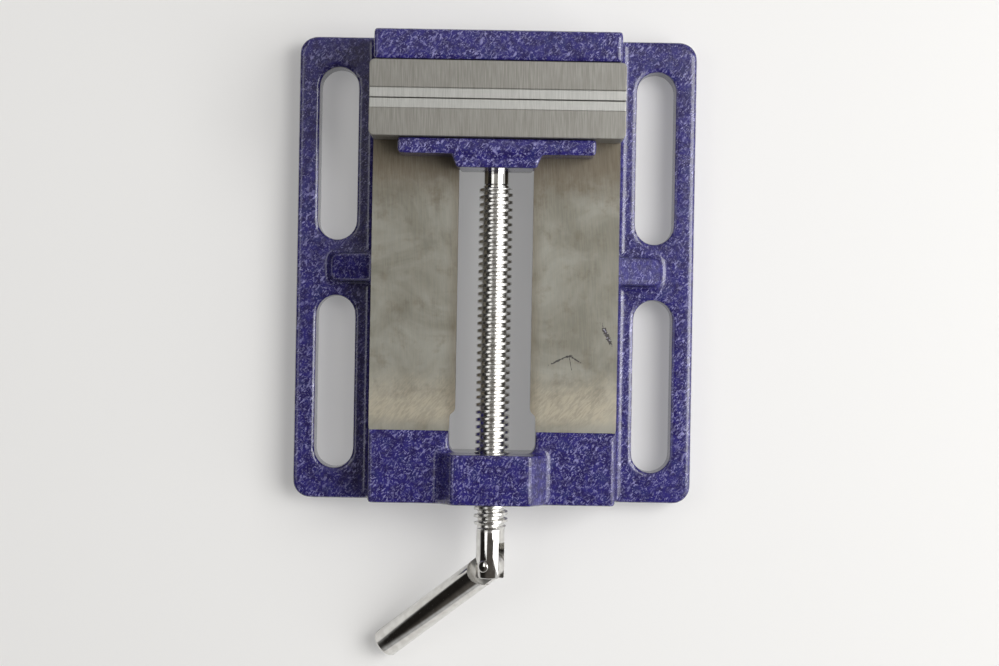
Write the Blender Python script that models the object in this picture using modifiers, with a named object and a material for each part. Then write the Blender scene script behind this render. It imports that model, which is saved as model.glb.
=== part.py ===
"""A drill press vise with closed jaws, standing on its base.

Lengths are metres, +Z is up and the jaws open along -Y, towards the lever.
Every piece is modelled about the middle of the base, and hangs from one empty
that sets the middle of the whole vise's footprint on the origin.
"""

import math

import bmesh
import bpy
from mathutils import Matrix, Vector

# Fits and cutting
FACE_GAP = 0.0003
PIN_GAP = 0.0003
THREAD_GAP = 0.0003
CUT_OVERRUN = 0.002
WELD_DISTANCE = 0.000001

# How finely curves are drawn
ARC_STEPS = 6
ROUND_STEPS = 32
SMALL_ROUND_STEPS = 20
THREAD_STEPS = 12
EDGE_STEPS = 2
SMOOTH_ANGLE = math.radians(35)
FLAT_ANGLE = math.radians(0.1)

# Base flange and its four bolt slots
BASE_WIDTH = 0.165
BASE_LENGTH = 0.1915
FLANGE_THICKNESS = 0.014
FLANGE_CORNER_RADIUS = 0.0072
CAST_EDGE_RADIUS = 0.0011
SLOT_WIDTH = 0.016
SLOT_SIDE_WEB = 0.0087
SLOT_BODY_WEB = 0.0063
SLOT_END_WEB = 0.01265
SLOT_MIDDLE_WEB = 0.0232

# Body that rises from the flange and carries the bed
BED_HEIGHT = 0.035
BODY_DRAFT = 0.0015
FRONT_BLOCK_LENGTH = 0.02985
FRONT_BLOCK_DROP = 0.0003
SIDE_WALL = 0.0095
BACK_WALL = 0.0105
RAIL_THICKNESS = 0.014
CAVITY_CORNER_RADIUS = 0.005

# Gap between the rails, with a wider pocket in front of the screw lug
RAIL_GAP = 0.0304
GAP_CORNER_RADIUS = 0.0033
POCKET_WIDTH = 0.0348
POCKET_LENGTH = 0.0162
POCKET_LEDGE = 0.0003

# Wedge ribs between the slots
RIB_WIDTH = 0.0116
RIB_EDGE_MARGIN = 0.014
RIB_SETDOWN = 0.0045
RIB_OUTER_RISE = 0.0032
RIB_CORNER_RADIUS = 0.003

# Lug that holds the thread of the screw
LUG_LENGTH = 0.02065
LUG_RISE = 0.0085
LUG_TOP_WIDTH = 0.032
LUG_FOOT_WIDTH = 0.045
LUG_EDGE_RADIUS = 0.0016

# Upright casting of the fixed jaw
FIXED_JAW_INSET = 0.0006
FIXED_JAW_DEPTH = 0.01415
FIXED_JAW_RISE = 0.0185
FIXED_JAW_DRAFT = 0.002

# Jaw plates
PLATE_OVERHANG = 0.0008
PLATE_THICKNESS = 0.0149
PLATE_RISE = 0.0015
PLATE_CORNER_RADIUS = 0.002
STEP_WIDTH = 0.0039
STEP_DEPTH = 0.005
GROOVE_DEPTH = 0.0022
GROOVE_HEIGHT_SHARE = 0.3655

# Socket screws of the jaw plates
PLATE_SCREW_END_DISTANCE = 0.0228
PLATE_SCREW_DIAMETER = 0.006
PLATE_SCREW_HEAD = 0.01
PLATE_SCREW_HEAD_HEIGHT = 0.006
PLATE_SCREW_SINK = 0.0027
PLATE_SCREW_SOCKET = 0.005
PLATE_SCREW_SOCKET_DEPTH = 0.003
FIXED_SCREW_GRIP = 0.0095
MOVABLE_SCREW_GRIP = 0.0045
SCREW_HOLE_END_GAP = 0.0005

# Movable jaw casting
WEB_INSET = 0.0113
WEB_THICKNESS = 0.0063
WEB_SETDOWN = 0.003
WEB_EDGE_RADIUS = 0.0016
BOSS_ROOT_WIDTH = 0.036
BOSS_FACE_WIDTH = 0.032
BOSS_DEPTH = 0.0053
BOSS_SETDOWN = 0.001
TONGUE_RECESS = 0.0003
TONGUE_LENGTH = 0.0264
TONGUE_SINK = 0.006

# Keeper plate under the rails, with its bolts and washers
KEEPER_WIDTH = 0.048
KEEPER_LENGTH = 0.022
KEEPER_THICKNESS = 0.006
KEEPER_CORNER_RADIUS = 0.002
KEEPER_BOLT_SPACING = 0.018
KEEPER_BOLT_SETBACK = 0.007
KEEPER_BOLT_DIAMETER = 0.006
KEEPER_BOLT_FLATS = 0.01
KEEPER_BOLT_HEAD_HEIGHT = 0.004
KEEPER_BOLT_GRIP = 0.010
FLAT_WASHER_DIAMETER = 0.012
FLAT_WASHER_THICKNESS = 0.0012
SPRING_WASHER_DIAMETER = 0.0105
SPRING_WASHER_THICKNESS = 0.0016
SPRING_WASHER_SPLIT = 0.0008

# Lead screw
SCREW_SETDOWN = 0.005
THREAD_PITCH = 0.003
THREAD_CREST_RADIUS = 0.0069
THREAD_ROOT_RADIUS = 0.0053
THREAD_END_RADIUS = 0.0056
THREAD_CREST_WIDTH = 0.00105
THREAD_FLANK_WIDTH = 0.00045
THREAD_SETBACK = 0.006
THREAD_STICKOUT = 0.01085
NOSE_RADIUS = 0.0051
NOSE_DEPTH = 0.0127
NOSE_CHAMFER = 0.0008
COLLAR_RADIUS = 0.0054
COLLAR_LENGTH = 0.0009
COLLAR_SETBACK = 0.0004
GROOVE_RADIUS = 0.0034
SCREW_CORE_RADIUS = 0.0045
SCREW_CORE_OVERLAP = 0.0009
FORK_RADIUS = 0.00575
FORK_LENGTH = 0.0191
FORK_SLOT_WIDTH = 0.0049
FORK_SLOT_LENGTH = 0.0146
FORK_END_CHAMFER = 0.0006
PIVOT_TO_FORK_END = 0.005

# Spring pins that hold the nose in the movable jaw
NOSE_PIN_DIAMETER = 0.004
NOSE_PIN_BORE = 0.0026
NOSE_PIN_SPLIT = 0.0007
NOSE_PIN_LENGTH = 0.019
NOSE_PIN_SETBACK = 0.0067

# Lever and its rivet
LEVER_RADIUS = 0.006
LEVER_LENGTH = 0.062
LEVER_SHOULDER = 0.0085
LEVER_TONGUE_RADIUS = 0.0057
LEVER_END_RADIUS = 0.0012
LEVER_END_SHARE = 0.3
LEVER_SWING = math.radians(54)
RIVET_TILT = math.radians(29)
RIVET_RADIUS = 0.002
RIVET_HEAD_RADIUS = 0.0024
RIVET_HEAD_HEIGHT = 0.0009
RIVET_RIM_SHARE = 0.3
RIVET_DOME_SHARE = 0.62

# Widths that follow the base: bolt slots take up what the flange has beside the body
BED_WIDTH = BASE_WIDTH - 2 * (SLOT_SIDE_WEB + SLOT_WIDTH + SLOT_BODY_WEB + BODY_DRAFT)
RIB_REACH = BASE_WIDTH / 2 - RIB_EDGE_MARGIN
FIXED_JAW_WIDTH = BED_WIDTH - 2 * FIXED_JAW_INSET
PLATE_WIDTH = BED_WIDTH + 2 * PLATE_OVERHANG
PLATE_SCREW_SPACING = PLATE_WIDTH - 2 * PLATE_SCREW_END_DISTANCE
WEB_WIDTH = PLATE_WIDTH - 2 * WEB_INSET

# Places along the vise, measured from the middle of the base
BASE_FRONT = -BASE_LENGTH / 2
BASE_BACK = BASE_LENGTH / 2
LUG_BACK = BASE_FRONT + LUG_LENGTH
BED_FRONT = BASE_FRONT + FRONT_BLOCK_LENGTH
FIXED_JAW_FACE = BASE_BACK - FIXED_JAW_DEPTH
FIXED_PLATE_BACK = FIXED_JAW_FACE - FACE_GAP
FIXED_PLATE_FRONT = FIXED_PLATE_BACK - PLATE_THICKNESS
MOVABLE_PLATE_FRONT = FIXED_PLATE_FRONT - FACE_GAP
MOVABLE_PLATE_BACK = MOVABLE_PLATE_FRONT - PLATE_THICKNESS
WEB_BACK = MOVABLE_PLATE_BACK - FACE_GAP
WEB_FRONT = WEB_BACK - WEB_THICKNESS
BOSS_FRONT = WEB_FRONT - BOSS_DEPTH
TONGUE_FRONT = BOSS_FRONT + TONGUE_RECESS
TONGUE_BACK = TONGUE_FRONT + TONGUE_LENGTH
THREAD_BACK_END = BOSS_FRONT - THREAD_SETBACK
THREAD_FRONT_END = BASE_FRONT - THREAD_STICKOUT
FORK_END = THREAD_FRONT_END - FORK_LENGTH
PIVOT_Y = FORK_END + PIVOT_TO_FORK_END

# Heights above the table
RAIL_UNDERSIDE = BED_HEIGHT - RAIL_THICKNESS
SCREW_HEIGHT = BED_HEIGHT - SCREW_SETDOWN
LUG_TOP = BED_HEIGHT + LUG_RISE
RIB_INNER_TOP = BED_HEIGHT - RIB_SETDOWN
RIB_OUTER_TOP = FLANGE_THICKNESS + RIB_OUTER_RISE
FIXED_JAW_TOP = BED_HEIGHT + FIXED_JAW_RISE
PLATE_BOTTOM = BED_HEIGHT + FACE_GAP
PLATE_TOP = FIXED_JAW_TOP + PLATE_RISE
GROOVE_HEIGHT = PLATE_BOTTOM + GROOVE_HEIGHT_SHARE * (PLATE_TOP - PLATE_BOTTOM)
WEB_TOP = PLATE_TOP - WEB_SETDOWN
BOSS_TOP = WEB_TOP - BOSS_SETDOWN
KEEPER_TOP = RAIL_UNDERSIDE - FACE_GAP
KEEPER_BOTTOM = KEEPER_TOP - KEEPER_THICKNESS
FLAT_WASHER_TOP = KEEPER_BOTTOM - FACE_GAP
SPRING_WASHER_TOP = FLAT_WASHER_TOP - FLAT_WASHER_THICKNESS - FACE_GAP
BOLT_SEAT = SPRING_WASHER_TOP - SPRING_WASHER_THICKNESS - FACE_GAP

# Places of the nose pins and the keeper's bolts in the movable jaw
NOSE_PIN_X = GROOVE_RADIUS + NOSE_PIN_DIAMETER / 2 + PIN_GAP
NOSE_PIN_Y = BOSS_FRONT + NOSE_PIN_SETBACK
KEEPER_BOLT_Y = TONGUE_BACK - KEEPER_BOLT_SETBACK
KEEPER_BOLT_TIP = RAIL_UNDERSIDE + KEEPER_BOLT_GRIP
BOLT_HOLE_RADIUS = KEEPER_BOLT_DIAMETER / 2 + PIN_GAP

# The lever's end reaches furthest forward, and the base furthest back
LEVER_TIP = (
    PIVOT_Y
    - LEVER_LENGTH * math.cos(LEVER_SWING)
    - LEVER_RADIUS * math.sin(LEVER_SWING)
)
FOOTPRINT_SHIFT = -(BASE_BACK + LEVER_TIP) / 2

SIDES = (("left", -1), ("right", 1))

# Axis along which an outline is extended, as the places of its own three axes
AXES = {
    "X": Matrix(((0, 0, 1), (1, 0, 0), (0, 1, 0))),
    "Y": Matrix(((1, 0, 0), (0, 0, -1), (0, 1, 0))),
    "Z": Matrix.Identity(3),
}


def clear_scene():
    for thing in list(bpy.data.objects):
        bpy.data.objects.remove(thing)


def new_collection(name):
    group = bpy.data.collections.new(name)
    bpy.context.scene.collection.children.link(group)
    return group


def new_material(name, colour, roughness, metallic):
    finish = bpy.data.materials.new(name)
    finish.use_nodes = True
    shader = finish.node_tree.nodes["Principled BSDF"]
    shader.inputs["Base Color"].default_value = (*colour, 1)
    shader.inputs["Roughness"].default_value = roughness
    shader.inputs["Metallic"].default_value = metallic
    finish.diffuse_color = (*colour, 1)
    return finish


def rounded(corners, steps=ARC_STEPS):
    """The outline through corners of (x, y, radius), each turned into an arc."""
    points = []
    for index, (x, y, radius) in enumerate(corners):
        here = Vector((x, y))
        before = (Vector(corners[index - 1][:2]) - here).normalized()
        after = (Vector(corners[(index + 1) % len(corners)][:2]) - here).normalized()
        if radius == 0:
            points.append(here)
            continue
        half = before.angle(after) / 2
        centre = here + (before + after).normalized() * (radius / math.sin(half))
        start = here + before * (radius / math.tan(half))
        end = here + after * (radius / math.tan(half))
        turn = math.copysign(math.pi - 2 * half, -before.cross(after)) / steps
        between = [
            centre + Matrix.Rotation(turn * step, 2) @ (start - centre)
            for step in range(1, steps)
        ]
        for point in (start, *between, end):
            if not points or (point - points[-1]).length > WELD_DISTANCE:
                points.append(point)
    if (points[0] - points[-1]).length <= WELD_DISTANCE:
        points.pop()
    return points


def rectangle(low_x, high_x, low_y, high_y, radius=0):
    corners = ((low_x, low_y), (high_x, low_y), (high_x, high_y), (low_x, high_y))
    return rounded([(x, y, radius) for x, y in corners])


def hexagon(flats):
    reach = flats / 2 / math.cos(math.pi / 6)
    turns = [math.pi / 3 * side for side in range(6)]
    return [Vector((math.cos(turn), math.sin(turn))) * reach for turn in turns]


def baked(guide, name):
    """The guide's evaluated shape as a plain closed mesh object; the guide goes."""
    bpy.context.scene.collection.objects.link(guide)
    view = bpy.context.evaluated_depsgraph_get()
    mesh = bpy.data.meshes.new_from_object(guide.evaluated_get(view))
    mesh.name = name
    bpy.data.objects.remove(guide)
    work = bmesh.new()
    work.from_mesh(mesh)
    bmesh.ops.remove_doubles(work, verts=work.verts, dist=WELD_DISTANCE)
    verts = work.verts
    edges = work.edges
    bmesh.ops.dissolve_limit(work, angle_limit=FLAT_ANGLE, verts=verts, edges=edges)
    bmesh.ops.recalc_face_normals(work, faces=work.faces)
    work.to_mesh(mesh)
    work.free()
    return bpy.data.objects.new(name, mesh)


def prism(name, outline, axis, low, high):
    """An outline extended along an axis, its ends exactly at low and at high."""
    curve = bpy.data.curves.new(name, "CURVE")
    curve.dimensions = "2D"
    curve.fill_mode = "BOTH"
    curve.extrude = (high - low) / 2
    spline = curve.splines.new("POLY")
    spline.points.add(len(outline) - 1)
    for place, point in zip(spline.points, outline):
        place.co = (point[0], point[1], 0, 1)
    spline.use_cyclic_u = True
    piece = baked(bpy.data.objects.new(name, curve), name)
    piece.data.transform(AXES[axis].to_4x4())
    along = "XYZ".index(axis)
    for corner in piece.data.vertices:
        corner.co[along] = high if corner.co[along] > 0 else low
    return piece


def turned(name, profile, axis, steps=ROUND_STEPS):
    """A profile of (place along the axis, radius), turned about that axis."""
    mesh = bpy.data.meshes.new(name)
    along = {"Y": 1, "Z": 2}[axis]
    points = []
    for place, radius in profile:
        point = [radius, 0, 0]
        point[along] = place
        points.append(point)
    mesh.from_pydata(points, [(n, n + 1) for n in range(len(points) - 1)], [])
    guide = bpy.data.objects.new(name, mesh)
    spin = guide.modifiers.new("turn", "SCREW")
    spin.axis = axis
    spin.steps = spin.render_steps = steps
    spin.use_merge_vertices = True
    spin.merge_threshold = WELD_DISTANCE
    return baked(guide, name)


def ring(name, axis, low, high, outer, inner, steps=SMALL_ROUND_STEPS):
    profile = ((low, inner), (low, outer), (high, outer), (high, inner), (low, inner))
    return turned(name, profile, axis, steps)


def rod(name, axis, low, high, radius, steps=SMALL_ROUND_STEPS):
    return turned(name, ((low, 0), (low, radius), (high, radius), (high, 0)), axis, steps)


def threaded_rod(name, low, high, growth):
    """A rod along Y with the lead screw's thread, its faces moved out by growth."""
    crest = THREAD_CREST_WIDTH / 2 + growth
    root = crest + THREAD_FLANK_WIDTH
    outer = THREAD_CREST_RADIUS + growth
    inner = THREAD_ROOT_RADIUS + growth
    first = math.floor(low / THREAD_PITCH) - 2
    last = math.ceil(high / THREAD_PITCH) + 2
    points = []
    for turn in range(first, last):
        middle = turn * THREAD_PITCH
        points.append((inner, middle - root, 0))
        points.append((outer, middle - crest, 0))
        points.append((outer, middle + crest, 0))
        points.append((inner, middle + root, 0))
    mesh = bpy.data.meshes.new(name)
    mesh.from_pydata(points, [(n, n + 1) for n in range(len(points) - 1)], [])
    guide = bpy.data.objects.new(name, mesh)
    spin = guide.modifiers.new("thread", "SCREW")
    spin.axis = "Y"
    spin.screw_offset = THREAD_PITCH
    spin.steps = spin.render_steps = THREAD_STEPS
    piece = baked(guide, name)
    work = bmesh.new()
    work.from_mesh(piece.data)
    for place, side in ((low, -1), (high, 1)):
        bmesh.ops.bisect_plane(
            work,
            geom=work.verts[:] + work.edges[:] + work.faces[:],
            dist=WELD_DISTANCE,
            plane_co=(0, place, 0),
            plane_no=(0, side, 0),
            clear_outer=True,
        )
    rims = [edge for edge in work.edges if edge.is_boundary]
    bmesh.ops.holes_fill(work, edges=rims)
    bmesh.ops.recalc_face_normals(work, faces=work.faces)
    work.to_mesh(piece.data)
    work.free()
    piece.data.transform(Matrix.Translation((0, 0, SCREW_HEIGHT)))
    return piece


def moved(piece, x=0, y=0, z=0):
    """Shifts a shape, with the guides that cut it or add to it."""
    for shape in (piece, *piece.children_recursive):
        shape.data.transform(Matrix.Translation((x, y, z)))
    return piece


def soften(piece, radius, steps=EDGE_STEPS):
    """Rounds the edges of a cast piece."""
    bevel = piece.modifiers.new("soft edges", "BEVEL")
    bevel.limit_method = "ANGLE"
    bevel.angle_limit = SMOOTH_ANGLE
    bevel.width = radius
    bevel.segments = steps
    return piece


def combine(piece, other, operation):
    """Adds, cuts away or keeps what is common with another shape, which stays a guide."""
    step = piece.modifiers.new(other.name, "BOOLEAN")
    step.operation = operation
    step.solver = "EXACT"
    step.object = other
    cutters.objects.link(other)
    other.display_type = "WIRE"
    other.hide_render = True
    other.parent = piece


def add(piece, other):
    combine(piece, other, "UNION")


def cut(piece, other):
    combine(piece, other, "DIFFERENCE")


def keep(piece, other):
    combine(piece, other, "INTERSECT")


def finish(piece, name, finish_material, parent, origin=(0, 0, 0)):
    """Names a piece, puts its origin at a point of its parent's frame, and parents it."""
    point = Vector(origin)
    piece.name = name
    piece.data.name = name
    moved(piece, *-point)
    piece.location = point
    piece.parent = parent
    piece.data.materials.append(finish_material)
    piece.data.shade_smooth()
    piece.data.set_sharp_from_angle(angle=SMOOTH_ANGLE)
    vise.objects.link(piece)
    return piece


def new_joint(name, parent, location=(0, 0, 0), rotation=(0, 0, 0)):
    """An empty that carries the pieces of one moving body."""
    joint = bpy.data.objects.new(name, None)
    joint.location = location
    joint.rotation_euler = rotation
    joint.parent = parent
    vise.objects.link(joint)
    return joint


def socket_screw(name, shank_length, head_top, hole_x, facing):
    """A cap screw along Y whose head looks towards facing, +1 or -1."""
    seat = head_top - facing * PLATE_SCREW_HEAD_HEIGHT
    tip = seat - facing * shank_length
    head = PLATE_SCREW_HEAD / 2
    shank = PLATE_SCREW_DIAMETER / 2
    profile = ((head_top, 0), (head_top, head), (seat, head))
    profile += ((seat, shank), (tip, shank), (tip, 0))
    screw = turned(name, profile, "Y", SMALL_ROUND_STEPS)
    floor = head_top - facing * PLATE_SCREW_SOCKET_DEPTH
    mouth = head_top + facing * CUT_OVERRUN
    ends = sorted((floor, mouth))
    cut(screw, prism(name + " socket", hexagon(PLATE_SCREW_SOCKET), "Y", *ends))
    return moved(screw, x=hole_x, z=GROOVE_HEIGHT)


def screw_hole(name, hole_x, start, end):
    """A hole along Y for the shank of a jaw plate's screw."""
    hole = rod(name, "Y", start, end, PLATE_SCREW_DIAMETER / 2 + FACE_GAP)
    return moved(hole, x=hole_x, z=GROOVE_HEIGHT)


def body_block():
    """The drafted block under the bed, lower at its painted front end."""
    half_bed = BED_WIDTH / 2
    half_foot = half_bed + BODY_DRAFT
    root = FLANGE_THICKNESS / 2
    section = (
        (-half_foot, root),
        (half_foot, root),
        (half_foot, FLANGE_THICKNESS),
        (half_bed, BED_HEIGHT),
        (-half_bed, BED_HEIGHT),
        (-half_foot, FLANGE_THICKNESS),
    )
    block = prism("body", section, "Y", BASE_FRONT, BASE_BACK)
    top = rectangle(-half_foot, half_foot, BASE_FRONT - CUT_OVERRUN, BED_FRONT)
    low = BED_HEIGHT - FRONT_BLOCK_DROP
    cut(block, prism("front block top", top, "Z", low, BED_HEIGHT + CUT_OVERRUN))
    return block


def flange():
    half = BASE_WIDTH / 2
    plan = rectangle(-half, half, BASE_FRONT, BASE_BACK, FLANGE_CORNER_RADIUS)
    return soften(prism("flange", plan, "Z", 0, FLANGE_THICKNESS), CAST_EDGE_RADIUS)


def screw_lug():
    half_foot = LUG_FOOT_WIDTH / 2
    half_top = LUG_TOP_WIDTH / 2
    foot = BED_HEIGHT - FRONT_BLOCK_DROP
    section = rounded(
        (
            (-half_foot, RAIL_UNDERSIDE, 0),
            (half_foot, RAIL_UNDERSIDE, 0),
            (half_foot, foot, 0),
            (half_top, LUG_TOP, LUG_EDGE_RADIUS),
            (-half_top, LUG_TOP, LUG_EDGE_RADIUS),
            (-half_foot, foot, 0),
        )
    )
    return prism("screw lug", section, "Y", BASE_FRONT, LUG_BACK)


def fixed_jaw():
    section = rounded(
        (
            (FIXED_JAW_FACE, RAIL_UNDERSIDE, 0),
            (BASE_BACK, RAIL_UNDERSIDE, 0),
            (BASE_BACK, BED_HEIGHT, 0),
            (BASE_BACK - FIXED_JAW_DRAFT, FIXED_JAW_TOP, WEB_EDGE_RADIUS),
            (FIXED_JAW_FACE, FIXED_JAW_TOP, 0),
        )
    )
    half = FIXED_JAW_WIDTH / 2
    return prism("fixed jaw", section, "X", -half, half)


def wedge_rib(name, side):
    """A rib on the flange whose top falls away from the body."""
    half = RIB_WIDTH / 2
    root = BED_WIDTH / 2 - SIDE_WALL / 2
    plan = rounded(
        (
            (side * root, -half, 0),
            (side * RIB_REACH, -half, RIB_CORNER_RADIUS),
            (side * RIB_REACH, half, RIB_CORNER_RADIUS),
            (side * root, half, 0),
        )
    )
    rib = prism(name, plan, "Z", FLANGE_THICKNESS / 2, BED_HEIGHT)
    slope = (RIB_INNER_TOP - RIB_OUTER_TOP) / (RIB_REACH - BED_WIDTH / 2)
    inner = root - CUT_OVERRUN
    outer = RIB_REACH + CUT_OVERRUN
    inner_height = RIB_OUTER_TOP + slope * (RIB_REACH - inner)
    outer_height = RIB_OUTER_TOP - slope * CUT_OVERRUN
    above = BED_HEIGHT + CUT_OVERRUN
    wedge = (
        (side * inner, inner_height),
        (side * outer, outer_height),
        (side * outer, above),
        (side * inner, above),
    )
    reach = half + CUT_OVERRUN
    cut(rib, prism(name + " slope", wedge, "Y", -reach, reach))
    return soften(rib, CAST_EDGE_RADIUS)


def bolt_slot(name, side, end):
    """A slot through the flange, on one side and towards one end."""
    middle = side * (BASE_WIDTH / 2 - SLOT_SIDE_WEB - SLOT_WIDTH / 2)
    half = SLOT_WIDTH / 2
    near = SLOT_MIDDLE_WEB / 2
    far = BASE_BACK - SLOT_END_WEB
    low, high = sorted((end * near, end * far))
    plan = rectangle(middle - half, middle + half, low, high, half)
    return prism(name, plan, "Z", -CUT_OVERRUN, FLANGE_THICKNESS + CUT_OVERRUN)


def underside_cavity():
    half = BED_WIDTH / 2 + BODY_DRAFT - SIDE_WALL
    back = BASE_BACK - BACK_WALL
    plan = rectangle(-half, half, LUG_BACK, back, CAVITY_CORNER_RADIUS)
    return prism("underside", plan, "Z", -CUT_OVERRUN, RAIL_UNDERSIDE)


def rail_gap():
    """The gap that the tongue slides in, with the wider pocket at its front end."""
    back = TONGUE_BACK + GAP_CORNER_RADIUS
    pocket_front = LUG_BACK + POCKET_LEDGE
    pocket_back = pocket_front + POCKET_LENGTH
    half_gap = RAIL_GAP / 2
    half_pocket = POCKET_WIDTH / 2
    shoulder_radius = (half_pocket - half_gap) / 2
    plan = rounded(
        (
            (half_gap, back, GAP_CORNER_RADIUS),
            (-half_gap, back, GAP_CORNER_RADIUS),
            (-half_gap, pocket_back, shoulder_radius),
            (-half_pocket, pocket_back, shoulder_radius),
            (-half_pocket, pocket_front, GAP_CORNER_RADIUS),
            (half_pocket, pocket_front, GAP_CORNER_RADIUS),
            (half_pocket, pocket_back, shoulder_radius),
            (half_gap, pocket_back, shoulder_radius),
        )
    )
    low = RAIL_UNDERSIDE - CUT_OVERRUN
    return prism("rail gap", plan, "Z", low, BED_HEIGHT + CUT_OVERRUN)


def make_base(parent):
    """The iron casting: flange, body, rails, screw lug and fixed jaw in one piece."""
    base = body_block()
    for shape in (flange(), screw_lug(), fixed_jaw()):
        add(base, shape)
    for side_name, side in SIDES:
        add(base, wedge_rib(f"{side_name} rib", side))
        for end_name, end in (("front", -1), ("back", 1)):
            cut(base, bolt_slot(f"{end_name} {side_name} slot", side, end))
    cut(base, underside_cavity())
    cut(base, rail_gap())
    thread_front = BASE_FRONT - CUT_OVERRUN
    thread_back = LUG_BACK + CUT_OVERRUN
    cut(base, threaded_rod("lug thread", thread_front, thread_back, THREAD_GAP))
    hole_front = FIXED_JAW_FACE - CUT_OVERRUN
    hole_back = FIXED_PLATE_BACK + FIXED_SCREW_GRIP + SCREW_HOLE_END_GAP
    for side_name, side in SIDES:
        x = side * PLATE_SCREW_SPACING / 2
        cut(base, screw_hole(f"fixed jaw {side_name} hole", x, hole_front, hole_back))
    return finish(base, "base_casting", paint, parent)


def plate_section(front, facing, grooved):
    """A jaw plate seen from its end: its step, and a groove along its face."""
    behind = front - facing * (PLATE_THICKNESS + CUT_OVERRUN)
    step_floor = PLATE_TOP - STEP_DEPTH
    step_back = front - facing * STEP_WIDTH
    groove = (
        (front, GROOVE_HEIGHT - GROOVE_DEPTH),
        (front - facing * GROOVE_DEPTH, GROOVE_HEIGHT),
        (front, GROOVE_HEIGHT + GROOVE_DEPTH),
    )
    return (
        (behind, PLATE_BOTTOM),
        (front, PLATE_BOTTOM),
        *(groove if grooved else ()),
        (front, step_floor),
        (step_back, step_floor),
        (step_back, PLATE_TOP),
        (behind, PLATE_TOP),
    )


def make_plate(name, parent, origin, front, facing, grooved):
    """A jaw plate whose clamping face is at front and looks towards facing."""
    half = PLATE_WIDTH / 2
    reach = half + CUT_OVERRUN
    plate = prism(name, plate_section(front, facing, grooved), "X", -reach, reach)
    ahead = front + facing * CUT_OVERRUN
    back = front - facing * PLATE_THICKNESS
    behind = back - facing * CUT_OVERRUN
    plan = rounded(
        (
            (-half, ahead, 0),
            (half, ahead, 0),
            (half, back, PLATE_CORNER_RADIUS),
            (-half, back, PLATE_CORNER_RADIUS),
        )
    )
    low = PLATE_BOTTOM - CUT_OVERRUN
    keep(plate, prism(name + " plan", plan, "Z", low, PLATE_TOP + CUT_OVERRUN))

    seat = front - facing * (PLATE_SCREW_SINK + PLATE_SCREW_HEAD_HEIGHT + FACE_GAP)
    recess_ends = sorted((seat, ahead))
    hole_ends = sorted((behind, seat + facing * CUT_OVERRUN))
    recess_radius = PLATE_SCREW_HEAD / 2 + FACE_GAP
    for side_name, side in SIDES:
        x = side * PLATE_SCREW_SPACING / 2
        recess = rod(f"{name} {side_name} recess", "Y", *recess_ends, recess_radius)
        cut(plate, moved(recess, x=x, z=GROOVE_HEIGHT))
        cut(plate, screw_hole(f"{name} {side_name} hole", x, *hole_ends))
    return finish(plate, name, ground_steel, parent, origin)


def make_plate_screws(name, parent, origin, front, facing, grip):
    head_top = front - facing * PLATE_SCREW_SINK
    shank = PLATE_THICKNESS - PLATE_SCREW_SINK - PLATE_SCREW_HEAD_HEIGHT + grip
    for side_name, side in SIDES:
        x = side * PLATE_SCREW_SPACING / 2
        screw = socket_screw(name, shank, head_top, x, facing)
        finish(screw, f"{name}_{side_name}", dark_steel, parent, origin)


def jaw_boss():
    """The boss that takes the screw's nose, narrower towards its face."""
    half_root = BOSS_ROOT_WIDTH / 2
    half_face = BOSS_FACE_WIDTH / 2
    inside = WEB_FRONT + WEB_THICKNESS / 2
    plan = rounded(
        (
            (-half_root, inside, 0),
            (-half_root, WEB_FRONT, 0),
            (-half_face, BOSS_FRONT, WEB_EDGE_RADIUS),
            (half_face, BOSS_FRONT, WEB_EDGE_RADIUS),
            (half_root, WEB_FRONT, 0),
            (half_root, inside, 0),
        )
    )
    boss = prism("boss", plan, "Z", PLATE_BOTTOM, BOSS_TOP)
    return soften(boss, CAST_EDGE_RADIUS / 2)


def jaw_tongue():
    """The block between the rails, long enough to keep the jaw square."""
    neck_back = WEB_BACK - WEB_THICKNESS / 3
    neck_top = PLATE_BOTTOM + TONGUE_SINK
    section = (
        (TONGUE_FRONT, RAIL_UNDERSIDE),
        (TONGUE_BACK, RAIL_UNDERSIDE),
        (TONGUE_BACK, BED_HEIGHT),
        (neck_back, BED_HEIGHT),
        (neck_back, neck_top),
        (TONGUE_FRONT, neck_top),
    )
    half = RAIL_GAP / 2 - FACE_GAP
    return prism("tongue", section, "X", -half, half)


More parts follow.
